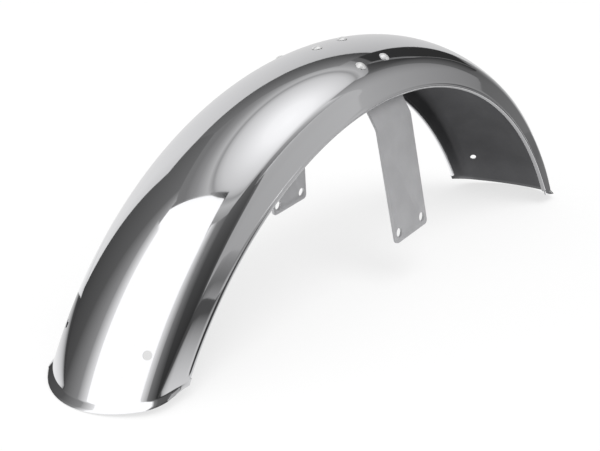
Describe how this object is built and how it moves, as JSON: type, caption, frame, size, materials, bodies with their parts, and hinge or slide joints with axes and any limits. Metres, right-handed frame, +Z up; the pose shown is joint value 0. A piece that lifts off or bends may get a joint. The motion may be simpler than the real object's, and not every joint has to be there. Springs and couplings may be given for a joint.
{
  "type": "motorcycle front mudguard",
  "caption": "Chromed steel front mudguard: a curved channel blade with turned-out end lips and beaded edges, on a riveted steel bridge with drilled legs for a fork.",
  "frame": {"origin": "on the floor under the middle of the mudguard, which stands on the lips of its two ends", "axes": "+X towards the rear end, +Y towards the right-hand fork leg, +Z up"},
  "size_m": [0.6728, 0.1428, 0.2179],
  "materials": {
    "chrome_sheet": "polished chrome plate on pressed steel",
    "satin_strap": "satin zinc-plated steel strap",
    "bright_rivet": "bright smooth steel"
  },
  "bodies": {
    "root": {"blade": "chrome_sheet", "bridge": "satin_strap", "rivet_left_front": "bright_rivet", "rivet_left_rear": "bright_rivet", "rivet_middle_front": "bright_rivet", "rivet_middle_rear": "bright_rivet", "rivet_right_front": "bright_rivet", "rivet_right_rear": "bright_rivet"}
  },
  "joints": []
}
